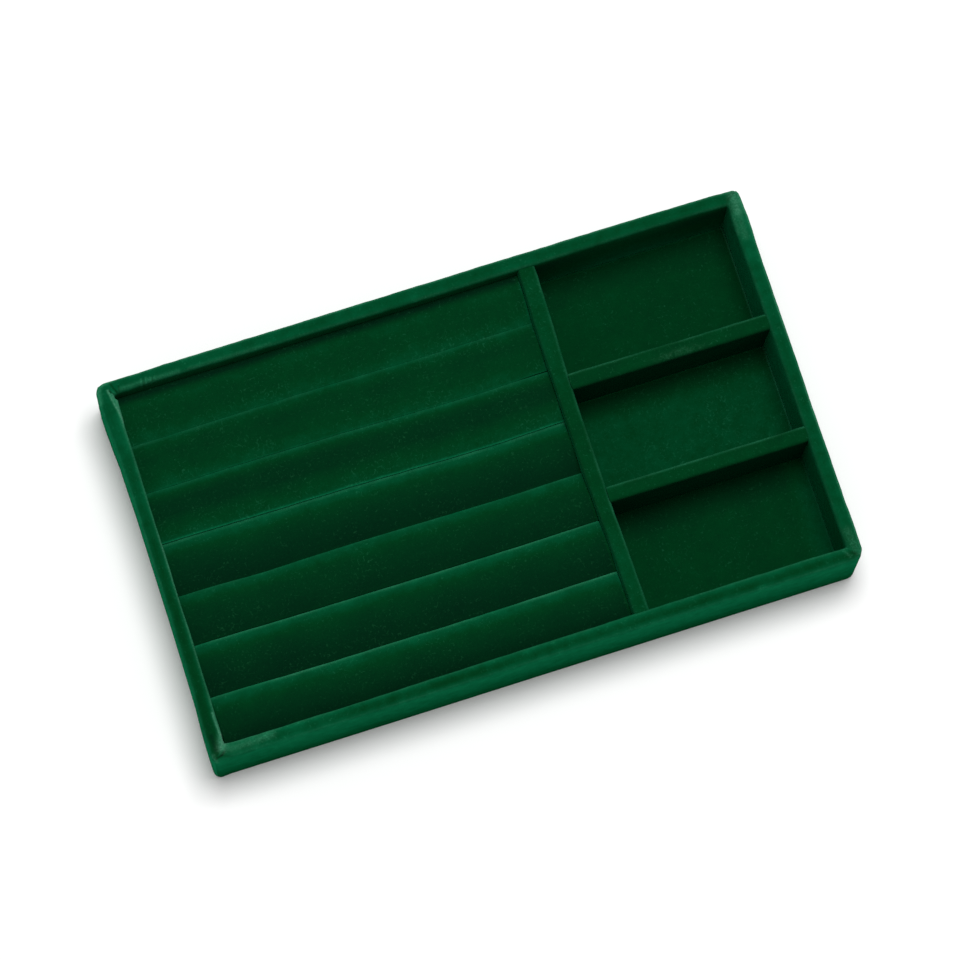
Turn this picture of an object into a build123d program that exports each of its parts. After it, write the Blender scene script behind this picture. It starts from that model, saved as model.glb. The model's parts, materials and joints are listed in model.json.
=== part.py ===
from build123d import *
import os
from math import cos, pi, sin, sqrt

# A velvet-wrapped jewelry tray with a lift-out insert of ring rolls and three compartments.
# Sizes are in mm. +X runs along the tray, +Y to its back and +Z up. The origin is under the
# middle of the tray, on the surface that it stands on.

# The tray over its velvet
tray_length = 255
tray_width = 151
tray_height = 35
corner_radius = 3.5
rim_radius = 1.9
foot_radius = 0.6

# The sheets and boards that it is made of
velvet_thickness = 0.7
wall_board_thickness = 4.5
base_board_thickness = 2.5
divider_board_thickness = 4.5

# The underside: how far the wall covers turn under, and the slit round the lining
turn_under = 10.0
lining_gap = 0.5

# The dividers: the clear bays that they leave, and how far they stay below the rim
ring_bay_length = 159.2
middle_compartment_width = 39.9
long_divider_drop = 1.1
cross_divider_drop = 0.8
divider_edge_radius = 1.3

# The velvet-covered floors of the compartments
floor_card_thickness = 1.2
floor_clearance = 0.4
floor_edge_radius = 0.5

# The lift-out insert of ring rolls
ring_card_thickness = 1.5
ring_pad_clearance = 0.4
ring_pad_end_gap = 0.8
roll_drop = 5.5
roll_gap = 0.1
roll_shoulder_radius = 2.5
roll_crown_radius = 20.0
roll_end_radius = 1.0
roll_end_steps = 3
# Each roll's share of the insert's width, from the back: hand-wrapped rolls differ a little
roll_width_shares = [0.138, 0.139, 0.149, 0.151, 0.142, 0.150, 0.131]

# How far a cutting block reaches past what it cuts
overrun = 5.0

# Worked out from the sizes above
half_length = tray_length / 2
half_width = tray_width / 2
wall_thickness = wall_board_thickness + 2 * velvet_thickness
divider_thickness = divider_board_thickness + 2 * velvet_thickness
bay_half_length = half_length - wall_thickness
bay_half_width = half_width - wall_thickness
bay_floor = velvet_thickness + base_board_thickness
long_divider_left = -bay_half_length + ring_bay_length
long_divider_right = long_divider_left + divider_thickness
cross_divider_middle = (middle_compartment_width + divider_thickness) / 2


def block(x_range, y_range, z_range):
    """A box between two values on each axis."""
    low = Vector(x_range[0], y_range[0], z_range[0])
    high = Vector(x_range[1], y_range[1], z_range[1])
    size = high - low
    return Pos(*((low + high) / 2)) * Box(size.X, size.Y, size.Z)


def either_side(half):
    """The range from minus half to plus half."""
    return (-half, half)


def top_face(solid):
    return solid.faces().sort_by(Axis.Z)[-1]


def bottom_face(solid):
    return solid.faces().sort_by(Axis.Z)[0]


def slab(inset, z_range):
    """The tray's outline with its rounded corners, drawn in by inset on all sides."""
    blank = block(either_side(half_length - inset), either_side(half_width - inset), z_range)
    return fillet(blank.edges().filter_by(Axis.Z), corner_radius - inset)


def walls(inset, bottom, top):
    """The ring of four walls round the bays, drawn in by inset from both faces of the wrapped
    wall, with both top edges rounded."""
    bay = block(
        either_side(bay_half_length + inset),
        either_side(bay_half_width + inset),
        (bay_floor, tray_height + overrun),
    )
    ring = slab(inset, (bottom, top)) - bay
    return fillet(top_face(ring).edges(), rim_radius - inset)


def base_board():
    return slab(velvet_thickness, (velvet_thickness, bay_floor))


def bottom_lining():
    """The cloth glued under the base board, inside the turned-under edges of the wall covers."""
    inset = turn_under + lining_gap
    return block(either_side(half_length - inset), either_side(half_width - inset), (0, velvet_thickness))


def wall_boards():
    """Front and back boards run the whole length, and the side boards butt between them."""
    ring = walls(velvet_thickness, bay_floor, tray_height - velvet_thickness)
    butt = bay_half_width + velvet_thickness
    outside = half_width + overrun
    along = either_side(half_length + overrun)
    upright = (0, tray_height + overrun)
    return {
        "front": ring & block(along, (-outside, -butt), upright),
        "back": ring & block(along, (butt, outside), upright),
        "left": ring & block((-half_length - overrun, 0), either_side(butt), upright),
        "right": ring & block((0, half_length + overrun), either_side(butt), upright),
    }


def mitred_side(run, across, turn):
    """What belongs to the side at -Y of an outline of run by across, between the mitres at its
    two corners, turned about Z to the side that is wanted."""
    reach = turn_under + overrun
    outline = [
        (-run / 2 - overrun, -across / 2 - overrun),
        (run / 2 + overrun, -across / 2 - overrun),
        (run / 2 - reach, -across / 2 + reach),
        (-run / 2 + reach, -across / 2 + reach),
    ]
    side = extrude(make_face(Polyline(*outline, close=True)), tray_height)
    return Rot(Z=turn) * side


def wall_covers(boards):
    """The velvet over the walls: up the outside, over the rim, down the inside, and turned under
    the base board. It is one cover to a side, mitred at the corners."""
    wrap = walls(0, 0, tray_height)
    wrap = fillet(bottom_face(wrap).edges(), foot_radius)
    under = block(
        either_side(half_length - turn_under),
        either_side(half_width - turn_under),
        (-overrun, bay_floor),
    )
    wrap = wrap - under - base_board()
    for board in boards.values():
        wrap -= board
    return {
        "front": wrap & mitred_side(tray_length, tray_width, 0),
        "right": wrap & mitred_side(tray_width, tray_length, 90),
        "back": wrap & mitred_side(tray_length, tray_width, 180),
        "left": wrap & mitred_side(tray_width, tray_length, 270),
    }


def upright_bar(length, thickness, top, edge_radius):
    """A bar that runs along X on the base board, with both long top edges rounded."""
    bar = block(either_side(length / 2), either_side(thickness / 2), (bay_floor, top))
    return fillet(top_face(bar).edges().filter_by(Axis.X), edge_radius)


def divider(length, drop):
    """The board of a divider and the velvet over its faces and its top."""
    top = tray_height - drop
    cover = upright_bar(length, divider_thickness, top, divider_edge_radius)
    board = upright_bar(
        length,
        divider_board_thickness,
        top - velvet_thickness,
        divider_edge_radius - velvet_thickness,
    )
    return board, cover - board


def dividers():
    """Each divider's board and cover: the long one stands between the front and back walls, and
    the cross dividers between it and the right wall."""
    long_place = Pos((long_divider_left + long_divider_right) / 2, 0, 0) * Rot(Z=90)
    long_pair = divider(2 * bay_half_width, long_divider_drop)
    cross_pair = divider(bay_half_length - long_divider_right, cross_divider_drop)
    cross_x = (long_divider_right + bay_half_length) / 2
    pairs = {"long_divider": [long_place * piece for piece in long_pair]}
    for name, y in (("back", cross_divider_middle), ("front", -cross_divider_middle)):
        pairs[name + "_cross_divider"] = [Pos(cross_x, y, 0) * piece for piece in cross_pair]
    return pairs


def compartment_floors():
    """Each compartment's floor: a card with velvet over its top and edges, laid on the base board."""
    near = cross_divider_middle - divider_thickness / 2
    far = cross_divider_middle + divider_thickness / 2
    bays = {
        "back": (far, bay_half_width),
        "middle": (-near, near),
        "front": (-bay_half_width, -far),
    }
    card_top = bay_floor + floor_card_thickness
    floors = {}
    for name, (low, high) in bays.items():
        inset = floor_clearance
        x_range = (long_divider_right + inset, bay_half_length - inset)
        cover = block(x_range, (low + inset, high - inset), (bay_floor, card_top + velvet_thickness))
        cover = fillet(top_face(cover).edges(), floor_edge_radius)
        inset += velvet_thickness
        x_range = (long_divider_right + inset, bay_half_length - inset)
        card = block(x_range, (low + inset, high - inset), (bay_floor, card_top))
        floors[name] = (card, cover - card)
    return floors


def roll_section(x, y, width, top):
    """A roll cut across its length, at x: flat below, upright at the sides, and a crown arc that
    runs smoothly into a shoulder arc on each side."""
    bottom = bay_floor + ring_card_thickness
    half = width / 2
    shoulder = roll_shoulder_radius
    reach = roll_crown_radius - shoulder
    shoulder_y = half - shoulder
    shoulder_z = top - roll_crown_radius + sqrt(reach**2 - shoulder_y**2)
    # The two arcs meet on the line through their centres
    meet = Vector(shoulder_y, shoulder_z - top + roll_crown_radius) / reach
    middle = (meet + Vector(1, 0)).normalized()

    def at(side, across, height):
        return Vector(x, y + side * across, height)

    def shoulder_arc(side):
        return ThreePointArc(
            at(side, half, shoulder_z),
            at(side, shoulder_y + shoulder * middle.X, shoulder_z + shoulder * middle.Y),
            at(side, shoulder_y + shoulder * meet.X, shoulder_z + shoulder * meet.Y),
        )

    right, left = shoulder_arc(1), shoulder_arc(-1)
    edges = [
        Line(at(-1, half, bottom), at(1, half, bottom)),
        Line(at(1, half, bottom), right @ 0),
        right,
        ThreePointArc(right @ 1, at(1, 0, top), left @ 1),
        left,
        Line(left @ 0, at(-1, half, bottom)),
    ]
    return make_face(edges)


def roll_form(x_range, y, width, top, end_radius):
    """A roll along X whose top and sides are drawn in at both ends on a quarter circle."""
    steps = [pi / 2 * step / roll_end_steps for step in range(roll_end_steps + 1)]
    rounding = [(end_radius * (1 - cos(angle)), end_radius * (1 - sin(angle))) for angle in steps]
    sections = [
        roll_section(x_range[0] + along, y, width - 2 * inset, top - inset)
        for along, inset in rounding
    ]
    sections += [
        roll_section(x_range[1] - along, y, width - 2 * inset, top - inset)
        for along, inset in reversed(rounding)
    ]
    return loft(sections, ruled=True)


def ring_pad():
    """The insert: a card with the ring rolls on it, each a foam bar wrapped in velvet."""
    x_range = (-bay_half_length + ring_pad_clearance, long_divider_left - ring_pad_end_gap)
    pad_half_width = bay_half_width - ring_pad_clearance
    card_top = bay_floor + ring_card_thickness
    card = block(x_range, either_side(pad_half_width), (bay_floor, card_top))
    foam_range = (x_range[0] + velvet_thickness, x_range[1] - velvet_thickness)
    top = tray_height - roll_drop
    rolls = []
    edge = pad_half_width
    for share in roll_width_shares:
        pitch = share * 2 * pad_half_width / sum(roll_width_shares)
        middle = edge - pitch / 2
        edge -= pitch
        width = pitch - roll_gap
        cover = roll_form(x_range, middle, width, top, roll_end_radius)
        foam = roll_form(
            foam_range,
            middle,
            width - 2 * velvet_thickness,
            top - velvet_thickness,
            roll_end_radius - velvet_thickness,
        )
        rolls.append((foam, cover - foam))
    return card, rolls


def pieces():
    """Every piece of the tray under its name."""
    named = {"base_board": base_board(), "bottom_lining": bottom_lining()}
    boards = wall_boards()
    covers = wall_covers(boards)
    for side in boards:
        named[side + "_wall_board"] = boards[side]
        named[side + "_wall_velvet"] = covers[side]
    for name, (board, cover) in dividers().items():
        named[name + "_board"] = board
        named[name + "_velvet"] = cover
    for name, (card, cover) in compartment_floors().items():
        named[name + "_floor_card"] = card
        named[name + "_floor_velvet"] = cover
    card, rolls = ring_pad()
    named["ring_pad_card"] = card
    for number, (foam, cover) in enumerate(rolls, start=1):
        named[f"ring_roll_{number}_foam"] = foam
        named[f"ring_roll_{number}_velvet"] = cover
    return named


os.makedirs("parts", exist_ok=True)
for name, piece in pieces().items():
    export_step(piece, f"parts/{name}.step")
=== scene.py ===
# %% [markdown]
# # A velvet jewelry tray
#
# The tray is fibreboard wrapped in emerald velvet. Seven padded ring rolls lie in the left bay,
# and two cross dividers split the right bay into three compartments. The CAD model holds the
# boards and the room that every cover takes. This script adds what the eye sees: the velvet
# itself, with its rounded rims, folded corners and brushed pile.
#
# Everything is in metres, in the frame of the CAD model: X along the tray, Y to its back, Z up.

import json

import bmesh
import bpy
import numpy as np
from mathutils import Matrix, Vector

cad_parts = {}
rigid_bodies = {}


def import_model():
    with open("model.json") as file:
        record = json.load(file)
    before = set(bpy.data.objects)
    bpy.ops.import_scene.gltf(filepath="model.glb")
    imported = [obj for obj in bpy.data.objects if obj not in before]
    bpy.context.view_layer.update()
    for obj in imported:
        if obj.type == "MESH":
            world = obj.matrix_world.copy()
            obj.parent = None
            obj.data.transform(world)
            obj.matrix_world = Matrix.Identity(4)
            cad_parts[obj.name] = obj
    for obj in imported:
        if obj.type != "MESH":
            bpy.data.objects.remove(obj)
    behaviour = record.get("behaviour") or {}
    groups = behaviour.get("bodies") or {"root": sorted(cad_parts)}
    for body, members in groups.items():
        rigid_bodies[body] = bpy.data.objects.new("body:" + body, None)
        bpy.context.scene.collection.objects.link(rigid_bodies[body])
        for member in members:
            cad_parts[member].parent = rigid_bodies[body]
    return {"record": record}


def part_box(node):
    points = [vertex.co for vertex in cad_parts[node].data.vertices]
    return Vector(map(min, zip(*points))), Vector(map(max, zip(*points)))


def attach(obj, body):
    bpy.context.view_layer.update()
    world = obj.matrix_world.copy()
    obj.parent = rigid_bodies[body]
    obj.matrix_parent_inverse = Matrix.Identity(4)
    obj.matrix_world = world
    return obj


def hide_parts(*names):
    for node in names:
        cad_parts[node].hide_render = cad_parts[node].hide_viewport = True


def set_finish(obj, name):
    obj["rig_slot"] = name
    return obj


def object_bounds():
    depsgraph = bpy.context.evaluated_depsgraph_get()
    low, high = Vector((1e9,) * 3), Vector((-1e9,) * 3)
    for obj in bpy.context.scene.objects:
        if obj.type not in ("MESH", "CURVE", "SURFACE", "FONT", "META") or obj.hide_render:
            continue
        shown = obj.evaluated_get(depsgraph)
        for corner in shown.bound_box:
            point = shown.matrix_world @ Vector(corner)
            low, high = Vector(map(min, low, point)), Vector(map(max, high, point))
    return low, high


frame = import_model()
cad_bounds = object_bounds()
mm = 0.001

# %% [markdown]
# ## Sizes from the frame
#
# Nothing is measured twice. The boxes of the CAD nodes give the height, the wall and the
# thickness of the velvet, so the covers fit whatever the boards measure. The roundings are
# those of real velvet, which turns on a millimetre or two when it is glued over an edge.

# %% Read the tray's sizes
half_length, half_width, height = cad_bounds[1]
divider_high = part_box("long_divider_velvet")[1]
wall = half_width - divider_high.y
velvet = divider_high.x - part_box("long_divider_board")[1].x
bay_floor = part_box("base_board")[1].z
# The covers turn under the base and end this far from the lining
lining_gap = 0.5 * mm
turned_under = half_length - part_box("bottom_lining")[1].x - lining_gap
rim_radius = 1.9 * mm
foot_radius = 0.6 * mm
divider_radius = 1.3 * mm
# The velvet's back stays this far off its board, so that no two faces lie in one plane
glue = 0.05 * mm
print(f"wall {wall / mm:.1f} mm, velvet {velvet / mm:.1f} mm, bay floor at {bay_floor / mm:.1f} mm")

# %% [markdown]
# ## Cloth as a grid of points
#
# Every cover here is a sheet that is folded round something stiff. Such a sheet could be
# modelled by hand from a cube with bevels, but then each fold is set by eye. Instead a cover is
# a grid of points worked out by a formula: one direction runs along the piece, the other
# follows its cross-section. A second grid, a velvet's thickness further in, is its back, and
# strips along the open edges join the two, so that the cover is one closed solid.

# %% Turn grids of points into closed cloth
def quads(corners):
    """The quads of a grid of corner numbers, each turned so that it faces the cross product of
    the direction along the rows and the direction across them."""
    around = [corners[:-1, :-1], corners[1:, :-1], corners[1:, 1:], corners[:-1, 1:]]
    return np.stack(around, axis=-1).reshape(-1, 4)


def new_piece(name, points, faces, **paint):
    """An object from points and quads, with doubled points merged and all faces smooth, apart
    from folds over 50 degrees. Each paint is a number on every point, for the material."""
    mesh = bpy.data.meshes.new(name)
    mesh.from_pydata(points.reshape(-1, 3).tolist(), [], faces.tolist())
    for label, values in paint.items():
        attribute = mesh.attributes.new(label, "FLOAT", "POINT")
        attribute.data.foreach_set("value", np.asarray(values, np.float32).ravel())
    work = bmesh.new()
    work.from_mesh(mesh)
    bmesh.ops.remove_doubles(work, verts=work.verts, dist=0.001 * mm)
    work.to_mesh(mesh)
    work.free()
    mesh.polygons.foreach_set("use_smooth", np.ones(len(mesh.polygons), bool))
    mesh.set_sharp_from_angle(angle=np.radians(50))
    piece = bpy.data.objects.new(name, mesh)
    bpy.context.scene.collection.objects.link(piece)
    return piece


def cloth(name, face, back, open_edges, **paint):
    """A closed sheet between two grids of the same shape, its face and its back. Only the open
    edges get a strip: start and end are the first and last row, left and right the first and
    last column. The others run into a pole or into each other."""
    rows, columns = face.shape[:2]
    front = np.arange(rows * columns).reshape(rows, columns)
    rear = front + rows * columns
    faces = [quads(front), quads(rear)[:, ::-1]]
    strips = {
        "start": np.stack([rear[0], front[0]]),
        "end": np.stack([front[-1], rear[-1]]),
        "left": np.stack([rear[:, 0], front[:, 0]], axis=1),
        "right": np.stack([front[:, -1], rear[:, -1]], axis=1),
    }
    faces += [quads(strips[edge]) for edge in open_edges]
    both = {label: np.stack([values, values]) for label, values in paint.items()}
    return new_piece(name, np.stack([face, back]), np.concatenate(faces), **both)


def dress(piece, body, node, slot):
    """Says which body a piece moves with, which CAD node it takes the place of, and which
    material it gets."""
    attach(piece, body)
    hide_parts(node)
    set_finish(piece, slot)


# %% [markdown]
# ## Small unevenness
#
# Hand-wrapped velvet is never quite flat: glue, pile and the board's edge leave ripples of a
# tenth of a millimetre. A noise texture as bump would shade them, but it leaves the outline
# dead straight. So the ripples move the points themselves. They are a sum of a few plane waves
# of about one length, in directions drawn from a fixed seed, which is smooth and repeatable.

# %% Ripples, bells and steps
def ripple(points, length, seed):
    """Adds eight sine waves that run in random directions, with wavelengths near the given one,
    and scales the sum to about -1 to 1."""
    draw = np.random.default_rng(seed)
    direction = draw.normal(size=(8, 3))
    direction /= np.linalg.norm(direction, axis=1, keepdims=True)
    rate = 2 * np.pi / (length * draw.uniform(0.7, 1.6, 8))
    phase = draw.uniform(0, 2 * np.pi, 8)
    return np.sin(points @ direction.T * rate + phase).sum(-1) / 4


def normals(grid):
    """The unit normal at each point of a grid: the cross product of its two slopes."""
    across = np.cross(np.gradient(grid, axis=0), np.gradient(grid, axis=1))
    return across / np.maximum(np.linalg.norm(across, axis=-1, keepdims=True), 1e-12)


def bell(distance, width):
    """A bell curve: e to the power of minus the square of distance over width. It is 1 at
    distance zero and fades within about the width."""
    return np.exp(-((distance / width) ** 2))


def smooth_step(value):
    """0 below zero, 1 above one, and an S-shaped rise between them: three times the square
    less twice the cube."""
    value = np.clip(value, 0, 1)
    return value * value * (3 - 2 * value)


def graded(distance, stops):
    """Straight lines between stops, which give a value for each place in millimetres."""
    return np.interp(distance / mm, list(stops), list(stops.values()))


# %% [markdown]
# ## Where the pile stands open, with painted shade and sheen
#
# Velvet looks dark where you see down into its pile, and light where a fold spreads the pile
# open or where it has been brushed over, so that light falls on the sides of the threads. Here
# that sheen, and the shade in the bays, creases and seams, is painted into the colour. That is
# why each wall, roll and floor of the tray has its own green. The pile is painted as three
# numbers on each point. The first, the nap, goes from -0.3, deep and dark, to 1, open and
# light, and holds the painted shade and sheen. `edge` marks the sharp folds with a painted
# highlight: a thin, broken, whitish line where the threads fan out. `lint` says how much fluff
# has collected.

# %% [markdown]
# ### Marks on the rim
#
# At the corners the velvet is gathered, and every corner came out differently. Such a crease
# could be sculpted, but a formula keeps it editable: it is a line of points on the rim, and
# everything near that line is pushed up or down and painted, with painted shade in the creases
# and painted highlights along the ridges. A patch is the same thing with a single point and a
# wide reach.

# %% Marks: creases, ridges and patches near the top of the walls
# Each mark has its points, in millimetres from the middle of the tray. Then come its reach and
# how far it pushes the cloth up, both in millimetres, and what it adds to nap, edge and lint. A
# negative nap is painted shade in a crease, and edge a painted whitish highlight.
marks = [
    # Back left: a folded gusset beside the inner corner, fine creases, a light outer ring
    (
        [(-123.6, 71.7), (-123, 68.2), (-122.4, 65), (-121.7, 61.8), (-121.3, 58.2)],
        0.4, 0.22, 0.1, 1.1, 0.3,
    ),
    ([(-122, 70.2), (-121.4, 67), (-121, 63.5)], 0.75, 0.1, 0.32, 0.12, 0.3),
    ([(-120.4, 70.2), (-121.4, 72.3), (-122, 74.4)], 0.3, -0.2, -0.35, 0, 0),
    ([(-119.4, 70.4), (-119.2, 72.2)], 0.28, -0.15, -0.3, 0, 0),
    ([(-121.7, 69.8), (-123.2, 71.5)], 0.28, -0.2, -0.35, 0, 0),
    (
        [(-127.6, 68), (-127.2, 71.4), (-126.2, 73.6), (-124.6, 74.9), (-121, 75.3)],
        0.9, 0, 0.25, 0.3, 0.5,
    ),
    ([(-125.6, 70.6), (-123.4, 73.2)], 1.6, 0, 0.12, 0, 0.3),
    # Wrinkles across the inner half of the back rim
    ([(-110.8, 70), (-110.4, 72.2)], 0.3, 0.15, 0.05, 0.2, 0.5),
    ([(-109.9, 70), (-109.6, 72)], 0.28, -0.1, -0.2, 0, 0),
    ([(-108.9, 70), (-108.6, 72.4)], 0.3, 0.15, 0.05, 0.17, 0.5),
    ([(-107.2, 70.1), (-106.9, 71.9)], 0.3, 0.12, 0.03, 0.14, 0.4),
    ([(-106.4, 70.1), (-106.2, 71.8)], 0.28, -0.08, -0.15, 0, 0),
    ([(-105.3, 70.1), (-105, 71.8)], 0.3, 0.1, 0.03, 0.1, 0.4),
    ([(-119, 71), (-110, 71.2), (-96, 71)], 0.8, 0.08, 0.08, 0.18, 0.5),
    ([(-92, 71), (-60, 70.8)], 0.6, 0.04, 0.04, 0.1, 0.3),
    # Front left: a light patch, a short mitre crease, a paler front rim
    (
        [(-122.6, -57.5), (-122.6, -60.8), (-122.3, -65.4), (-121.5, -67.6), (-120.7, -69.6)],
        0.4, 0.18, 0.05, 0.95, 0.5,
    ),
    ([(-121.4, -67.4), (-122.4, -69.4), (-123.2, -71)], 1.7, 0.12, 0.12, 1.1, 0.6),
    ([(-121, -70), (-122.6, -72.4)], 0.3, -0.12, -0.2, 0, 0),
    ([(-122.8, -72.7), (-123.9, -73.7), (-126.4, -74.4)], 0.34, -0.2, -0.4, 0, 0),
    (
        [(-123.9, -73.8), (-121.1, -75), (-118.7, -75.3), (-112, -75.4)],
        0.34, -0.06, -0.14, 0, 0,
    ),
    ([(-120, -72.4), (-112, -72.2), (-104, -71.8)], 1.4, 0, 0.08, 0.25, 0.9),
    ([(-119, -70.3), (-100, -70.4)], 0.4, 0, 0, 0.25, 0.3),
    ([(-125.6, -66), (-125.4, -71)], 1.1, 0, -0.14, 0, 0),
    ([(-127, -73), (-126.6, -75.4)], 0.8, 0, 0, 0.25, 1.2),
    # Back right: a whitish patch down the end of the right rim
    ([(124.6, 72.8), (125, 70), (124.6, 66.5)], 1.8, 0.05, -0.02, 0.6, 0.5),
    ([(124.6, 65), (124.2, 56)], 1.4, 0, 0, 0.2, 0.5),
    ([(122.4, 64), (122, 58)], 0.7, 0.05, 0, 0.2, 0.3),
    ([(121.3, 70), (122.6, 71.9)], 0.3, -0.08, -0.12, 0, 0),
    # Front right: a faint crease along the mitre, fluff on the right rim
    ([(122, -70.8), (124.6, -73.9)], 0.3, -0.06, -0.14, 0, 0),
    ([(126, -73.6), (126.8, -74.4)], 0.4, -0.12, -0.3, 0, 0),
    ([(124.2, -64), (125.2, -72.6)], 1.7, 0, 0.02, 0.2, 1.6),
    ([(120.6, -71.2), (121.9, -73.4)], 0.6, 0.05, 0.08, 0.2, 0.4),
]
print("marks on the rim:", len(marks))


# %% What the marks do to a grid of points
def segment_distance(x, y, start, stop):
    """Distance of points to a straight segment, seen from above: the nearest point on it is
    where the point's projection falls, held between the two ends."""
    (x0, y0), (x1, y1) = start, stop
    square = (x1 - x0) ** 2 + (y1 - y0) ** 2
    share = np.clip(((x - x0) * (x1 - x0) + (y - y0) * (y1 - y0)) / max(square, 1e-18), 0, 1)
    return np.hypot(x - x0 - share * (x1 - x0), y - y0 - share * (y1 - y0))


def apply_marks(points):
    """What all marks together add on a grid of points: push in metres, nap with its painted shade,
    edge with its painted highlight, and lint. They only reach the top of the walls."""
    x, y, z = points[..., 0] / mm, points[..., 1] / mm, points[..., 2]
    total = np.zeros((4,) + x.shape)
    for line, reach, *amounts in marks:
        ends = zip(line, line[1:]) if len(line) > 1 else [(line[0], line[0])]
        distance = np.minimum.reduce([segment_distance(x, y, *pair) for pair in ends])
        total += bell(distance, reach) * np.array(amounts)[:, None, None]
    total *= smooth_step((z - height + 5 * mm) / (3 * mm))
    total[0] *= mm
    return total


# %% [markdown]
# ## The wall covers
#
# Each wall has one strip of velvet. It starts under the base, turns up round the foot, climbs
# the outside, goes over the rim and down the inside to the bay's floor. At its ends it is
# mitred to the next strip, at 45 degrees, and round the outer corner it bends on a radius that
# differs a little from corner to corner, because it is pulled round by hand.
#
# The cross-section is a list of straight runs and quarter circles. Carried along the wall, each
# of its points keeps its depth in the wall, and the run gets shorter by that depth at both
# ends, which is what makes the mitre.

# %% The cross-section of a wrapped wall
def arc(centre_depth, centre_height, radius, start, stop, count):
    """Points on a circle in the plane of the cross-section, between two angles in degrees."""
    angle = np.radians(np.linspace(start, stop, count))
    across, up = radius * np.cos(angle), radius * np.sin(angle)
    return np.stack([centre_depth + across, centre_height + up], 1)


def joined(pieces, counts):
    """A line through the given pieces, with straight runs of so many points between them."""
    line = [np.array(pieces[0])]
    for count, before, after in zip(counts, pieces, pieces[1:]):
        line += [np.linspace(before[-1], after[0], count + 2)[1:-1], np.array(after)]
    return np.concatenate(line).T


# How many points lie between the foot, the two roundings of the rim and the bay's floor, and on
# the foot's and the rim's quarter circles
between_points, foot_points, rim_points = (5, 30, 9, 26), 5, 11


def wall_section(inset):
    """Depth from the wall's outer face, and height, of points from under the base to the bay's
    floor. Inset draws the whole section in towards the board, for the velvet's back."""
    rim, foot = rim_radius - inset, max(foot_radius - inset, 0.0)
    outer, inner = inset, wall - inset
    top, bottom = height - inset, inset
    pieces = [
        [[turned_under, bottom]],
        arc(outer + foot, bottom + foot, foot, 270, 180, foot_points),
        arc(outer + rim, top - rim, rim, 180, 90, rim_points),
        arc(inner - rim, top - rim, rim, 90, 0, rim_points),
        [[inner, bay_floor]],
    ]
    return joined(pieces, between_points)


def over_the_rim(depth, level):
    """Distance along the section from the middle of the rim: below zero on the outside, above
    zero on the inside."""
    step = np.hypot(np.diff(depth), np.diff(level))
    length = np.concatenate([[0], np.cumsum(step)])
    on_top = level > height - 0.01 * mm
    return length - np.interp(wall / 2, depth[on_top], length[on_top])


depth, level = wall_section(0)

# %% Where the walls run, and how their velvet is pulled round the corners
corner_radii = {
    "front_left": 2.2 * mm,
    "front_right": 4.6 * mm,
    "back_right": 2.8 * mm,
    "back_left": 4.2 * mm,
}
# Each side is worked out as if it were the front and then turned to its place. It has half its
# run, half the way across the tray, its quarter turns, and the corners at its two ends.
walls = {
    "front": (half_length, half_width, 0, "front_left", "front_right"),
    "right": (half_width, half_length, 1, "front_right", "back_right"),
    "back": (half_length, half_width, 2, "back_right", "back_left"),
    "left": (half_width, half_length, 3, "back_left", "front_left"),
}
row_spacing = 1.1 * mm
corner_rows = 10
# Rows lie closer within the last stretch of a wall, where the cloth is gathered
gathered, gathered_spacing = 26 * mm, 0.4 * mm
# The velvet turns on this radius in the bay's own corners
fold_radius = 0.5 * mm
print("outer corners in mm:", {name: radius / mm for name, radius in corner_radii.items()})

# %% How the walls bow
# No board stays quite straight. This is how far each wall's outer face stands out from a
# straight line, and its inner face into the bay, in millimetres by the distance along the wall
# from its middle.
outer_bow = {
    "front": {-127: 0.4, -122: 0.05, -60: 0.1, 0: 0, 60: 0, 127: 0},
    "right": {
        -75: -0.15, -70: -0.05, -64: 0.18, -56: 0, -44: -0.2, -32: -0.2, -16: -0.1, 0: 0, 32: 0.04,
        48: 0.05, 56: 0.27, 64: 0.4, 71: 0.1, 75: -0.25,
    },
    "back": {
        -127: -0.45, -124: -0.5, -116: -0.1, -100: 0, -84: 0.13, -60: 0.15, -44: 0.22, -28: 0.36,
        -12: 0.18, 12: 0.17, 36: 0.2, 60: 0.12, 84: 0.14, 100: 0.2, 108: 0, 120: 0, 124: 0,
        127: 0.4,
    },
    "left": {
        -75: 0.45, -71: 0.83, -64: 0.71, -56: 0.33, -49: -0.12, -40: -0.2, -30: -0.42, 0: -0.4,
        16: -0.38, 32: -0.2, 48: 0, 56: 0.5, 64: 0.74, 72: 0.74, 75: 0.4,
    },
}
inner_bow = {
    "front": {-120: 0, -110: -0.3, -95: -0.3, -40: -0.12, 20: 0.15, 85: 0.3, 110: 0.3, 120: 0},
    "right": {-68: 0, -60: 0.3, -50: 0.25, -20: 0.1, 5: 0.05, 45: 0.2, 55: 0.35, 63: 0.35, 68: 0},
    "back": {
        -120: 0, -110: -0.2, -80: -0.2, -50: 0, -20: 0.08, 50: 0, 70: -0.12, 90: -0.25, 110: -0.25,
        120: 0,
    },
    "left": {
        -68.6: 0, -67.3: 0.95, -64: 0.7, -59: 0.42, -54: 0.24, -48: 0.2, 50: 0.1, 66: 0.1, 68: 0,
    },
}
bows = [stops for bow in (outer_bow, inner_bow) for stops in bow.values()]
print("largest bow in mm:", max(abs(value) for stops in bows for value in stops.values()))


# %% Carry the cross-section along a wall
def quarter_turns(points, turns):
    """Points turned about Z by a number of right angles. Each makes minus y the new x, and x
    the new y."""
    for _ in range(turns % 4):
        points = np.stack([-points[..., 1], points[..., 0], points[..., 2]], -1)
    return points


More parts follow.
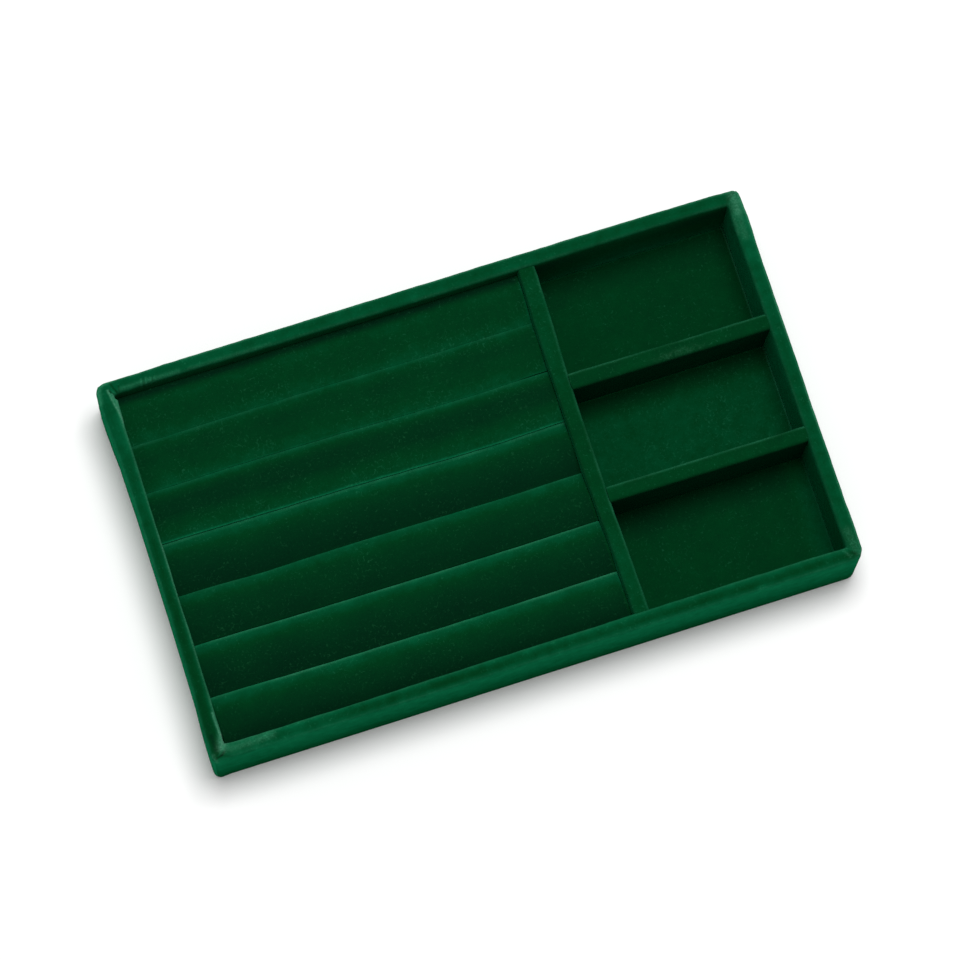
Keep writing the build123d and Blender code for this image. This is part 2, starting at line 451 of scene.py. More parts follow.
def wall_grid(side, inset):
    """Rows run along the wall, columns across its section. In the straight stretch a point lies
    at its share of the run. In each corner it goes round an arc up to the mitre, whose radius
    shrinks by the point's depth, and never below that of the velvet's fold in the bay."""
    half_run, half_across, _, left, right = walls[side]
    depth, level = wall_section(inset)
    radius = np.stack([np.maximum(corner_radii[end] - depth, fold_radius) for end in (left, right)])
    run = 2 * half_run
    close = np.arange(0, gathered, gathered_spacing)
    middle = np.linspace(gathered, run - gathered, int((run - 2 * gathered) / row_spacing))
    share = np.concatenate([close, middle, run - close[::-1]]) / run
    straight = len(share)
    share = np.concatenate([np.zeros(corner_rows), share, np.ones(corner_rows)])
    rise = np.linspace(0, 1, corner_rows + 1)[1:]
    bend = np.radians(45) * np.concatenate([-rise[::-1], np.zeros(straight), rise])
    share, bend = share[:, None], bend[:, None]
    end_radius = np.where(bend < 0, radius[0], radius[1])
    start, stop = -(half_run - depth - radius[0]), half_run - depth - radius[1]
    x = start + share * (stop - start) + end_radius * np.sin(bend)
    y = -(half_across - depth) + end_radius * (1 - np.cos(bend))
    grid = np.stack([x, y, np.broadcast_to(level, x.shape)], -1)
    return grid, np.broadcast_to(bend, x.shape)


def bowed(grid, bend, side):
    """The face of a cover with the bows of its outer and inner side. The outer bow fades across
    the rim and follows the corner round, the inner one fades below the rim."""
    depth = wall_section(0)[0][None]
    outer = graded(grid[..., 0], outer_bow[side]) * mm * smooth_step(1.3 - depth / wall)
    inner = graded(grid[..., 0], inner_bow[side]) * mm * smooth_step(2 * depth / wall - 1)
    near_rim = smooth_step((grid[..., 2] - height + 5.1 * mm) / (3 * mm))
    inner = inner * near_rim * (np.abs(bend) < 1e-6)
    moved = grid.copy()
    moved[..., 0] += outer * np.sin(bend)
    moved[..., 1] += inner * np.cos(bend) - outer * np.cos(bend)
    return moved


# %% [markdown]
# ### How the velvet lies on each wall
#
# The long lists of stops say how open the pile is across a wall, with its painted sheen and
# shade, by the distance from the middle of its rim: below zero outside, above zero towards the
# bay. Outside it was brushed upwards when the cover was pulled over, and it is painted light
# there, a painted sheen on the steep outer faces. The top is darker, and towards the bay the
# painted shade and sheen depend on the wall. An image painted by hand could hold this too, but
# stops at real distances stay sharp at any size and can be read.

# %% The nap of each wall, with its painted sheen and shade
wall_nap_and_shading = {
    "front": {
        -36: 0.3, -30: 0.36, -24.5: 0.53, -17: 0.65, -7.5: 0.78, -3.4: 0.78, -2.2: 0.55, -0.8: 0.36,
        0.4: 0.4, 1.6: 0.57, 2.6: 0.68, 3.6: 0.52, 5: 0.3, 30: 0.25,
    },
    "right": {
        -36: 0.6, -5: 0.8, -3: 0.75, -1.6: 0.52, 0: 0.46, 1.5: 0.48, 3: 0.45, 5: 0.62, 9: 0.6,
        14: 0.62, 20: 0.7, 28: 0.75, 34: 0.95,
    },
    "back": {
        -36: 0.6, -5: 0.7, -3: 0.7, -1.6: 0.46, 0: 0.42, 1.6: 0.48, 3: 0.44, 4.5: 0.32, 6.5: 0.18,
        9: 0.14, 14: 0.17, 20: 0.32, 26: 0.5, 32: 0.85,
    },
    "left": {
        -36: 0.8, -5: 0.9, -3: 0.75, -1.6: 0.4, -0.4: 0.34, 1: 0.4, 2.2: 0.58, 3.6: 0.6, 5: 0.4,
        30: 0.25,
    },
}
# What is added to it on top of the rim and on the inside, by the place along the wall
top_nap = {
    "front": {-95: 0.06, -40: -0.12, 20: -0.04, 85: -0.1},
    "right": {-60: -0.08, -50: -0.1, 5: -0.11, 45: 0.0, 60: 0.08},
    "back": {-100: -0.08, 0: -0.04, 60: 0.0, 127: 0.04},
    "left": {-50: 0.08, -15: -0.05, 20: -0.15, 60: -0.13},
}
inside_nap = {
    "right": {-60: -0.3, -25: -0.2, 0: -0.05, 60: -0.03},
    "back": {-119: -0.12, -104: -0.1, -90: 0.04, -72: 0.04, -60: -0.08, -46: -0.14, -36: 0, 120: 0},
}
# Strength of the painted whitish highlight at the outer and at the inner fold of the rim
rim_highlights = {"front": (0.1, 0.24), "right": (0.6, 0.1), "back": (0.6, 0.14), "left": (0.12, 0.75)}
fold = rim_radius * np.pi / 4 + wall / 2 - rim_radius
inner_line = {"front": fold + 0.25 * mm, "right": fold, "back": fold, "left": fold + 0.35 * mm}
print(f"the rim folds {fold / mm:.1f} mm to either side of its middle")


# %% Paint a wall cover and lift its ripples
def wall_paint(face, rim_way, side, seed):
    """Nap and edge of a wall, with painted sheen and shade: the stops across it, what is added
    along it, a painted whitish highlight at each fold, and slow ripples in all of them."""
    run = face[..., 0]
    inside = smooth_step((rim_way - 4 * mm) / (4 * mm))
    nap = graded(rim_way, wall_nap_and_shading[side]) + graded(run, top_nap[side]) * bell(rim_way, 3 * mm)
    nap = nap + graded(run, inside_nap.get(side, {0: 0})) * inside
    nap = nap + 0.03 * ripple(face, 16 * mm, seed + 20) + 0.03 * ripple(face, 5 * mm, seed + 40)
    outer_strength, inner_strength = rim_highlights[side]
    edge = outer_strength * bell(rim_way + fold, 0.5 * mm)
    edge = edge + inner_strength * bell(rim_way - inner_line[side], 0.6 * mm)
    return nap, edge * (0.8 + 0.4 * ripple(face, 20 * mm, seed + 30))


def along_wall(grid, side):
    """Distance of each point along the wall from the mitres at its two ends. They run at 45
    degrees, so each end comes nearer by as much as the point lies inside."""
    half_run, half_across, *_ = walls[side]
    inside = half_across + grid[..., 1]
    return grid[..., 0] + half_run - inside, half_run - inside - grid[..., 0]


def wall_lift(face, rim_way, side, seed):
    """How far the cover stands out: ripples of three lengths, and a rim that is a little padded.
    It fades where the cover ends, so that neighbours still meet, and down beside the rolls."""
    lift = 0.10 * mm * ripple(face, 34 * mm, seed) + 0.06 * mm * ripple(face, 7 * mm, seed + 10)
    lift = lift + 0.035 * mm * ripple(face, 2.8 * mm, seed + 50)
    lift = lift + 0.14 * mm * bell(rim_way, 1.6 * mm) - 0.07 * mm
    from_left, from_right = along_wall(face, side)
    quiet = smooth_step(from_left / (2 * mm)) * smooth_step(from_right / (2 * mm))
    quiet = quiet * smooth_step((face[..., 2] - 0.3 * mm) / (3 * mm))
    beside_rolls = smooth_step((face[..., 2] - 26 * mm) / (4 * mm))
    return lift * quiet * np.where(rim_way > 4 * mm, beside_rolls, 1)


# %% Make the wall covers
for seed, side in enumerate(walls):
    half_run, _, turns, *_ = walls[side]
    (face, bend), (back, _) = wall_grid(side, 0), wall_grid(side, velvet - glue)
    rim_way = over_the_rim(*wall_section(0))[None]
    nap, edge = wall_paint(face, rim_way, side, seed)
    lift = wall_lift(face, rim_way, side, seed)
    face = bowed(face + normals(face) * lift[..., None], bend, side)
    face = quarter_turns(face, turns)
    # The marks add painted shade in the creases and painted highlights along the ridges
    push, more_nap_and_shading, more_edge, more_lint = apply_marks(face)
    face[..., 2] += push
    piece = cloth(
        f"{side}_wall_cover",
        face,
        quarter_turns(back, turns),
        ("start", "end", "left", "right"),
        nap=nap + more_nap_and_shading,
        edge=np.maximum(edge, 0) + more_edge,
        lint=0.1 + more_lint,
    )
    dress(piece, "tray", f"{side}_wall_velvet", "velvet")

# %% [markdown]
# ## The divider covers
#
# A divider is a board on edge with velvet over its faces and its top. Its ends butt against the
# walls, and because a wall's rim is rounded, the upper end of the cover reaches a little
# further, into the hollow of that rounding. A bevelled box would give the same outline, but the
# carried cross-section also says which face and which height each point has, for the paint.

# %% The grid of a divider's cover
def bar_section(half_thick, top, radius, inset):
    """Position across the bar and height, from the foot of one face over the top to the foot of
    the other."""
    side, high, rounding = half_thick - inset, top - inset, radius - inset
    pieces = [
        [[-side, bay_floor]],
        arc(-side + rounding, high - rounding, rounding, 180, 90, 7),
        arc(side - rounding, high - rounding, rounding, 90, 0, 7),
        [[side, bay_floor]],
    ]
    # So many points up each face and over the top
    return joined(pieces, (24, 8, 24))


def rim_hollow(level):
    """How far the rounding of a wall's rim stands back from the wall's face at a height: its
    radius less the other side of the right triangle that the radius and the height make."""
    above = np.clip(level - (height - rim_radius), 0, rim_radius)
    return rim_radius - np.sqrt(rim_radius**2 - above**2)


def divider_grid(name, inset):
    """A bar along X or Y, whichever is the longer side of the node's box. Also gives each
    point's place across the bar and half the bar's thickness."""
    low, high = (np.array(corner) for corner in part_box(f"{name}_velvet"))
    size, middle = high - low, (low + high) / 2
    along = 0 if size[0] > size[1] else 1
    across, level = bar_section(size[1 - along] / 2, high[2], divider_radius, inset)
    share = np.linspace(-1, 1, int(size[along] / row_spacing))[:, None]
    if along == 1:
        across = -across
    grid = np.empty(share.shape[:1] + across.shape + (3,))
    grid[..., along] = middle[along] + share * (size[along] / 2 + rim_hollow(level))
    grid[..., 1 - along] = middle[1 - along] + across
    grid[..., 2] = level
    return grid, across, size[1 - along] / 2


# %% How the dividers' velvet lies, and how they bow
# The nap of the face behind, of the face in front by its height in millimetres, and of the top,
# and then the painted highlight line at the front and at the back top edge. On the cross
# dividers the face in front darkens towards the top: partly the nap, partly painted shade.
divider_nap_and_shading = {
    "long_divider": (0.3, {4: 0.3, 24: 0.3, 29: 0.6}, 0.27, (0.12, 0.55)),
    "back_cross_divider": (0.3, {5: -0.02, 14: -0.14, 28: -0.3}, 0.2, (0.05, 0.8)),
    "front_cross_divider": (0.3, {5: -0.06, 14: -0.17, 28: -0.3}, 0.22, (0.02, 0.85)),
}
# A divider is held at its ends only, so its top wanders: how far each of its two faces stands
# towards +X for the long divider, or towards +Y for a cross divider, in millimetres by place
divider_bow = {
    "long_divider": (
        {
            -69: 0.5, -62: 0.5, -38: 0.35, -22: -0.2, -12: -0.45, 12: -0.45, 32: -0.4, 48: -0.25,
            64: 0.25,
        },
        {-69: 0.7, -62: 0.6, -45: 0.4, -30: -0.1, 12: -0.25, 32: 0.1, 48: 0.75, 64: 1.1},
    ),
    "back_cross_divider": ({44: -0.5, 60: -0.65, 105: -0.8}, {44: -0.15, 60: -0.2, 105: -0.6}),
    "front_cross_divider": ({44: -0.4, 60: -0.5, 105: -0.65}, {44: -0.2, 60: -0.28, 105: -0.5}),
}
# Pressed against its board, a cover keeps this much thickness
least_thickness = 0.12 * mm
print("divider covers to make:", list(divider_nap_and_shading))


def divider_lean(level):
    """The share of its bow that a divider has at a height: none at the floor, all near the top."""
    return smooth_step((level - bay_floor - 8 * mm) / (20 * mm))


def bow_divider(face, back, across, half_thick, name):
    """Each point's bow lies between those of the two faces, by its place across the bar, and
    grows with the height. Where it would press a face into its board, it stops short."""
    along, sideways = (1, 0) if name == "long_divider" else (0, 1)
    first, second = (graded(face[..., along], stops) for stops in divider_bow[name])
    side_share = smooth_step(across / (2 * half_thick) + 0.5)
    bow = first * (1 - side_share) + second * side_share
    face[..., sideways] += bow * mm * divider_lean(face[..., 2])
    outward = np.sign(across) * (np.abs(across) > 0.99 * half_thick)
    thickness = outward * (face - back)[..., sideways]
    face[..., sideways] += outward * np.maximum(least_thickness - thickness, 0)


# %% Paint a divider cover
def divider_paint(face, across, half_thick, name, seed):
    """Nap and edge of a divider: one nap for the faces and one for the top, blended over the
    last few millimetres, with the painted shade of the front faces, and a painted highlight line at
    both top edges. Also the share of the top."""
    back_nap, front_nap_and_shade, upper_nap, (front_highlight, back_highlight) = divider_nap_and_shading[name]
    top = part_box(f"{name}_velvet")[1].z
    upper = smooth_step((face[..., 2] - top + 3.2 * mm) / (2.6 * mm))
    nap = np.where(across > 0, back_nap, graded(face[..., 2], front_nap_and_shade))
    nap = nap * (1 - upper) + upper_nap * upper + 0.03 * ripple(face, 14 * mm, seed + 20)
    if name == "long_divider":
        along_top = {-60: 0.02, -45: 0.02, 0: -0.06, 48: 0.01}
        nap = nap + graded(face[..., 1], along_top) * upper
        bulge = bell(face[..., 1] - 48 * mm, 20 * mm) * (across > 0)
        nap = nap + 0.15 * bulge * (1 - upper)
    edge = front_highlight * bell(across + half_thick - 0.3 * mm, 0.4 * mm)
    edge = edge + back_highlight * bell(across - half_thick + 0.35 * mm, 0.5 * mm)
    edge = edge * upper * (0.85 + 0.4 * ripple(face, 12 * mm, seed + 30))
    return nap + 0.3 * edge, 0.35 * edge, upper


# %% Make the divider covers
for seed, name in enumerate(divider_nap_and_shading, start=40):
    face, across, half_thick = divider_grid(name, 0)
    back, _, _ = divider_grid(name, velvet - glue)
    nap, edge, upper = divider_paint(face, across, half_thick, name, seed)
    lift = 0.08 * mm * ripple(face, 30 * mm, seed) + 0.05 * mm * ripple(face, 6 * mm, seed + 10)
    face = face + normals(face) * lift[..., None]
    bow_divider(face, back, across, half_thick, name)
    lint = np.full_like(nap, 0.15)
    if name == "back_cross_divider":
        # Fluff has caught on the front half of its top
        fluff = bell(face[..., 0] - 86 * mm, 9 * mm)
        fluff = fluff * bell(across + 0.5 * half_thick, 1.4 * mm) * upper
        lint = lint + fluff
        edge = edge + 0.12 * fluff * (1 + ripple(face, 2 * mm, seed + 40))
    paint = {"nap": nap, "edge": np.maximum(edge, 0), "lint": lint}
    piece = cloth(f"{name}_cover", face, back, ("start", "end", "left", "right"), **paint)
    dress(piece, "tray", f"{name}_velvet", "velvet")
    low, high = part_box(f"{name}_velvet")

# %% [markdown]
# ## The floors of the compartments
#
# Each floor is a card wrapped in velvet and laid in its compartment. From above it is a soft
# rectangle with a dark slit round it. The formula walks from the foot of its edge, round the
# top edge and on to the middle in ever smaller rounded rectangles, which close in one point.

# %% Rounded rectangles, one inside the other
side_columns, smallest_rounding = 60, 0.02 * mm


def ring_grid(low, high, corner, section):
    """Rows follow the section from the edge inwards, columns go once round a rounded rectangle.
    The section gives each row's depth from the edge and its height. A rounded rectangle is the
    set of points at one distance, the corner's radius, from a smaller rectangle."""
    depth, level = section
    middle, half = (low + high) / 2, (high - low) / 2
    angle = np.linspace(0, 2 * np.pi, 4 * side_columns + 1)
    square = np.stack([np.cos(angle), np.sin(angle)], -1)
    square /= np.abs(square).max(1, keepdims=True)
    inner = np.maximum(half[:2] - depth[:, None], 0)
    rounding = np.minimum(corner, inner.min(1))[:, None, None]
    point = square[None] * inner[:, None, :]
    core = np.clip(point, -(inner[:, None, :] - rounding), inner[:, None, :] - rounding)
    away = point - core
    length = np.maximum(np.linalg.norm(away, axis=-1, keepdims=True), 1e-9)
    point = core + away / length * np.minimum(length, rounding)
    flat = np.broadcast_to(level[:, None, None], point.shape[:2] + (1,))
    return np.concatenate([point + middle[:2], flat], -1)


def pad_section(inset, low, high, radius):
    """From the foot of the edge up, round the top edge, and in to the middle."""
    side, top, rounding = inset, high[2] - inset, max(radius - inset, smallest_rounding)
    reach = (high - low)[:2].min() / 2
    turn = arc(side + rounding, top - rounding, rounding, 180, 90, 6)
    # One point between foot and rounding, and thirty on the way to the middle
    return joined([[[side, low[2]]], turn, [[reach, top]]], (1, 30))


# %% How the pile lies on each floor, with its painted shade and highlights
floor_nap = {"back": 0.22, "middle": 0.32, "front": 0.21}
floor_lint = {"back": 0.15, "middle": 0.4, "front": 0.2}
# A painted highlight along its cut edges, where the pile has spread
floor_edge_highlight = {"back": 0.22, "middle": 0.22, "front": 0.08}
# Painted shade beside the back wall of each bay, by the distance from it
floor_shade = {
    "back": {0: -0.04, 4: -0.06, 10: -0.05, 13: 0},
    "middle": {0: -0.15, 2: -0.2, 4: -0.16, 6: -0.12, 8: -0.07, 10: -0.03, 12: 0},
    "front": {0: -0.13, 4: -0.11, 8: -0.08, 10: -0.06, 12: -0.02, 14: 0},
}


def floor_paint(face, low, high, name, seed):
    """Nap and edge of a floor: its own tone, painted shade by the back wall, a painted highlight at
    the cut edges, and a thin painted highlight line along the right one."""
    nap = floor_nap[name] + 0.015 * ripple(face, 22 * mm, seed)
    nap = nap + graded(high[1] - face[..., 1], floor_shade[name])
    to_edge = np.minimum((face - low)[..., :2], (high - face)[..., :2]).min(-1)
    nap = nap + floor_edge_highlight[name] * bell(to_edge, 0.5 * mm)
    if name == "front":
        # Painted light on the front floor towards its right edge
        nap = nap + 0.16 * smooth_step((face[..., 0] - 110 * mm) / (9 * mm))
    return nap, floor_edge_highlight[name] * bell(face[..., 0] - high[0] + 0.25 * mm, 0.3 * mm)


# %% Make the floors
# The pile at the cut edges spreads until it nearly touches the walls
pile_spread = 0.33 * mm
floor_corner, floor_radius = 0.5 * mm, 0.25 * mm
# Down each edge the velvet runs over the card's thickness and its own
for seed, name in enumerate(floor_nap, start=70):
    low, high = (np.array(corner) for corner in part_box(f"{name}_floor_velvet"))
    low[:2] -= pile_spread
    high[:2] += pile_spread
    face, back = (
        ring_grid(low, high, floor_corner, pad_section(inset, low, high, floor_radius))
        for inset in (0, velvet - glue)
    )
    nap, edge = floor_paint(face, low, high, name, seed)
    lint = np.full_like(nap, floor_lint[name])
    piece = cloth(f"{name}_floor_cover", face, back, ("start",), nap=nap, edge=edge, lint=lint)
    dress(piece, "tray", f"{name}_floor_velvet", "velvet")

# %% [markdown]
# ## The ring rolls
#
# A ring roll is a bar of foam wrapped in velvet. Seven of them are squeezed side by side, and
# rings are pushed into the seams between them. Across its length a roll is upright at the sides
# and crowned on top: a wide arc in the middle that runs into a tight arc at each shoulder. At
# its ends the cover is folded down over the foam, on a small radius.
#
# The seams wander by a fraction of a millimetre. Both neighbours take their side from the same
# wandering line, so the rolls stay pressed together without cutting into each other.

# %% The form of a roll
roll_count = 7
roll_boxes = [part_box(f"ring_roll_{number}_velvet") for number in range(1, roll_count + 1)]
# The first three rolls are stuffed tighter, so they are flatter on top. The first four are
# pressed together hard, which leaves their shoulders almost no rounding.
tight_rolls = 3
crown_radii = [30 * mm] * tight_rolls + [20 * mm] * (roll_count - tight_rolls)
shoulder_radii = [0.15 * mm] * 4 + [0.6 * mm] * 3
left_end_radius, right_end_radius = 0.35 * mm, 0.3 * mm
# No radius of the cover's back gets smaller than this
least_radius = 0.1 * mm
roll_left, roll_right = roll_boxes[0][0].x, roll_boxes[0][1].x
# How far the pile reaches past the CAD's room: to the left wall, into each seam, to the back
# and front walls, and towards the divider, whose bowed face it follows
left_fill, seam_fill, wall_fill, right_fill = 0.35 * mm, 0.04 * mm, 0.3 * mm, 0.62 * mm
# Where each seam runs, in millimetres to the back of its straight line, at places along it
seam_places = [-121, -110, -90, -70, -50, -30, -10, 10, 28, 37]
seam_runs = [
    [0, 0, 0, 0, 0, 0, 0, 0, 0, 0],
    [-0.1, -0.1, 0.1, 0.2, 0.3, 0.1, -0.2, -0.1, -0.1, -0.1],
    [0.15, 0.15, 0.35, 0.35, 0.25, -0.15, -0.65, -0.95, -0.55, -0.4],
    [0.5, 0.55, 0.35, 0.15, 0.15, -0.25, -0.75, -0.95, -0.45, -0.3],
    [0.6, 0.65, -0.15, 0.15, 0.25, 0.05, -0.25, -0.45, -0.15, -0.1],
    [0.6, 0.6, 0.3, 0.1, 0, -0.1, -0.1, -0.1, 0.1, 0.15],
    [0.65, 0.65, 0.15, -0.05, -0.05, -0.25, -0.15, 0.05, 0.25, 0.3],
    [0, 0, 0, 0, 0, 0, 0, 0, 0, 0],
]
print("widths in mm:", [round((high.y - low.y) / mm, 1) for low, high in roll_boxes])


def seam_offset(x, seam):
    """How far a seam leaves its straight line at positions along the tray: straight stretches
    between the places, rounded by averaging over 12 mm, and a small ripple. Seams 0 and 7 stay
    straight beside the walls."""
    if seam in (0, roll_count):
        return np.zeros_like(x)
    line = np.stack([x, np.zeros_like(x), np.zeros_like(x)], -1)
    steps = np.linspace(-6, 6, 13) * mm
    shape = np.mean([np.interp((x + step) / mm, seam_places, seam_runs[seam]) for step in steps], 0)
    return shape * mm + 0.05 * mm * ripple(line, 9 * mm, 100 + seam)


def slit_gap(x, seam):
    """Rolls 2 and 3 part by a slit at their right end, over its last 14 mm."""
    return 0.15 * mm * smooth_step((x - roll_right + 14 * mm) / (10 * mm)) * (seam == 2)


def long_face(y, z):
    """How far the long divider's left face stands towards +X of its straight place: its bow
    times the share of it at the height, as in its cover."""
    return graded(y, divider_bow["long_divider"][0]) * mm * divider_lean(z)


# %% The grid of a roll
# Rows: through the rounding of each end, along the roll, and over each end's own face, where the
# section shrinks to these shares
end_steps, roll_steps = 6, 170
end_shares = (0.97, 0.8, 0.55, 0.3, 0.0)
# Columns: up a side, round a shoulder, and over the crown
side_steps, shoulder_steps, crown_steps = 15, 9, 25


def roll_rows(inset):
    """Where each row lies along the roll, how far its section is drawn in, and to what share it
    shrinks. Each end is drawn in on a quarter circle, and then, for its own face, the section
    shrinks towards the middle of its foot."""
    angle = np.radians(np.linspace(0, 90, end_steps))
    near_radius = max(left_end_radius - inset, least_radius)
    far_radius = max(right_end_radius - inset, least_radius)
    near_drawn, far_drawn = near_radius * (1 - np.sin(angle)), far_radius * (1 - np.sin(angle))
    drawn = np.concatenate([near_drawn, np.zeros(roll_steps), far_drawn[::-1]])
    near = roll_left - left_fill + inset + near_radius * (1 - np.cos(angle))
    far = roll_right + right_fill - inset - far_radius * (1 - np.cos(angle))[::-1]
    x = np.concatenate([near, np.linspace(near[-1], far[0], roll_steps + 2)[1:-1], far])
    shrink = np.ones_like(x)
    for share in end_shares:
        x = np.concatenate([x[:1], x, x[-1:]])
        drawn = np.concatenate([drawn[:1], drawn, drawn[-1:]])
        shrink = np.concatenate([[share], shrink, [share]])
    return x, drawn, shrink


def roll_section(number, inset, half, bottom, top):
    """Position across the roll and height, for rows with their half widths and tops. Shoulder
    and crown meet on the line through the centres of their circles. The cosine of its angle is
    the distance of the centres across the roll, over their whole distance."""
    shoulder = max(shoulder_radii[number - 1] - inset, least_radius)
    crown = crown_radii[number - 1] - inset
    meet = np.arccos((half - shoulder) / (crown - shoulder))
    hub = top - crown + (crown - shoulder) * np.sin(meet)
    rise = np.linspace(0, 1, side_steps + 1)[None, :-1]
    turn = np.linspace(0, 1, shoulder_steps)[None] * meet
    over = np.linspace(0, 1, crown_steps + 2)[None, 1:-1]
    over = meet + over * (np.pi - 2 * meet)
    across = [
        half + 0 * rise,
        half - shoulder + shoulder * np.cos(turn),
        crown * np.cos(over),
        -(half - shoulder) + shoulder * np.cos(np.pi - meet + turn),
        -half + 0 * rise,
    ]
    level = [
        bottom + rise * (hub - bottom),
        hub + shoulder * np.sin(turn),
        top - crown + crown * np.sin(over),
        hub + shoulder * np.sin(np.pi - meet + turn),
        bottom + rise[:, ::-1] * (hub - bottom),
    ]
    return np.concatenate(across, 1), np.concatenate(level, 1)


def roll_grid(number, inset):
    """Rows run along the roll, columns across it, from the foot of its back side over the crown
    to the foot of its front side. Also gives each point's distance from the back seam, the
    width of the roll there, and whether the point is on an end's own face."""
    low, high = roll_boxes[number - 1]
    x, drawn, shrink = roll_rows(inset)
    back_y = high.y + seam_offset(x, number - 1) - slit_gap(x, number - 1)
    front_y = low.y + seam_offset(x, number) + slit_gap(x, number)
    back_y = back_y + wall_fill * (number == 1)
    front_y = front_y - wall_fill * (number == roll_count)
    half = ((back_y - front_y) / 2 + seam_fill - inset - drawn)[:, None]
    middle, top = ((back_y + front_y) / 2)[:, None], (high.z - inset - drawn)[:, None]
    across, level = roll_section(number, inset, half, low.z, top)
    shrink = shrink[:, None]
    y = middle + across * shrink
    z = low.z + (level - low.z) * shrink
    # Its right end follows the bowed face of the long divider
    follow = smooth_step((x - roll_right + 5 * mm) / (5 * mm))[:, None]
    grid = np.stack([x[:, None] + follow * long_face(y, z), y, z], -1)
    return grid[::-1], (half - across)[::-1], (2 * half + 0 * across)[::-1], (shrink < 1)[::-1]


# %% [markdown]
# ### The nap of the rolls
#
# The rolls were brushed from the back to the front. Each is painted light over its back
# shoulder, a painted sheen, and darker towards its front one, a painted shade, so each roll runs
# from light to dark. The first three were brushed both ways, and are painted light along both
# seams, against the shade in them. The first roll is painted darker along its back, the shade
# of the back wall. The stops give the nap by the distance from a roll's back seam.

# %% The nap of each roll, with its painted sheen and shade
striped = {
    0: 0.8, 0.5: 0.62, 1.5: 0.5, 2.5: 0.42, 3.5: 0.34, 4.5: 0.27, 5.5: 0.22, 6.5: 0.18, 8.5: 0.13,
    10.5: 0.1, 12.5: 0.08, 14.5: 0.055, 18.3: 0.04, 20.2: 0.04, 21: 0.12,
}
roll_nap_and_shading = [
    {
        0: 0.06, 1.5: 0.0, 2.7: 0.12, 4: 0.25, 5.5: 0.26, 7: 0.24, 9: 0.2, 13: 0.2, 15: 0.235,
        16: 0.255, 17: 0.29, 18.3: 0.32, 18.8: 0.34, 19.0: 0.38,
    },
    {
        0: 0.5, 0.4: 0.42, 1.5: 0.31, 2.5: 0.27, 3.5: 0.22, 5: 0.185, 7: 0.15, 9.5: 0.17, 12: 0.19,
        14: 0.2, 15: 0.24, 16: 0.26, 17: 0.29, 18.2: 0.31, 18.9: 0.34, 19.1: 0.45,
    },
    {
        0: 0.55, 0.4: 0.46, 1.5: 0.34, 2.5: 0.25, 3.5: 0.18, 6: 0.09, 11: 0.08, 12: 0.12, 13: 0.15,
        14: 0.18, 15: 0.2, 16: 0.24, 17: 0.27, 18: 0.28, 19.4: 0.31, 20.2: 0.36, 20.4: 0.5,
        20.6: 1.0,
    },
    striped,
    {
        0: 0.6, 0.5: 0.5, 1.5: 0.42, 2.5: 0.35, 3.5: 0.29, 4.5: 0.24, 5.5: 0.2, 6.5: 0.17,
        8.5: 0.13, 10.5: 0.11, 12.5: 0.1, 14.5: 0.075, 18.3: 0.06, 20.2: 0.12,
    },
    striped,
    striped,
]
# Strength of the painted highlight line on each roll's back edge
seam_highlight = [0.0, 0.12, 0.12, 0.3, 0.1, 0.35, 0.35]
print("stops of each roll:", [len(stops) for stops in roll_nap_and_shading])


def roll_paint(face, from_back, wide, folded, number):
    """Nap and edge of a roll: its stops with their painted sheen and shade, slow ripples, more at
    its right end, and a painted highlight line at its back seam. The folded ends have one tone."""
    # The stops are for the roll's straight width, and the wandering seams stretch them a little
    low, high = roll_boxes[number - 1]
    straight_width = high.y - low.y + 2 * seam_fill
    nap = graded(from_back * straight_width / wide, roll_nap_and_shading[number - 1])
    nap = nap + 0.02 * ripple(face, 18 * mm, 220 + number)
    nap = nap + 0.25 * bell(face[..., 0].max(0) - face[..., 0], 0.6 * mm)
    edge = seam_highlight[number - 1] * bell(from_back - 0.4 * mm, 0.45 * mm)
    edge = edge * (0.8 + 0.5 * ripple(face, 15 * mm, 230 + number))
    return np.where(folded, 0.3, nap), np.where(folded, 0, np.maximum(edge, 0))


# %% [markdown]
# ### The cover settles on its foam
#
# The velvet is pulled over the bar and held in the seams, while the squeezed foam pushes it up.
# That is a cloth simulation: a coarse copy of the cover's top is pinned along its sides and
# ends, and swells under pressure without gravity for twenty frames. The cover is cut a
# thousandth too long, so it also forms faint waves. How far each coarse point moved is then
# spread over the fine cover, held to three tenths of a millimetre: firm foam gives no more.

# %% Cloth simulation of a roll's cover
every_row, every_column, most_swell = 3, 2, 0.3 * mm
foam_pressure, cut_too_long, settling_frames = 1000.0, 0.001, 20
# The simulated part lies between the ends and reaches one column past the crown on each side
first_row, first_column = len(end_shares) + end_steps, side_steps + shoulder_steps - 1


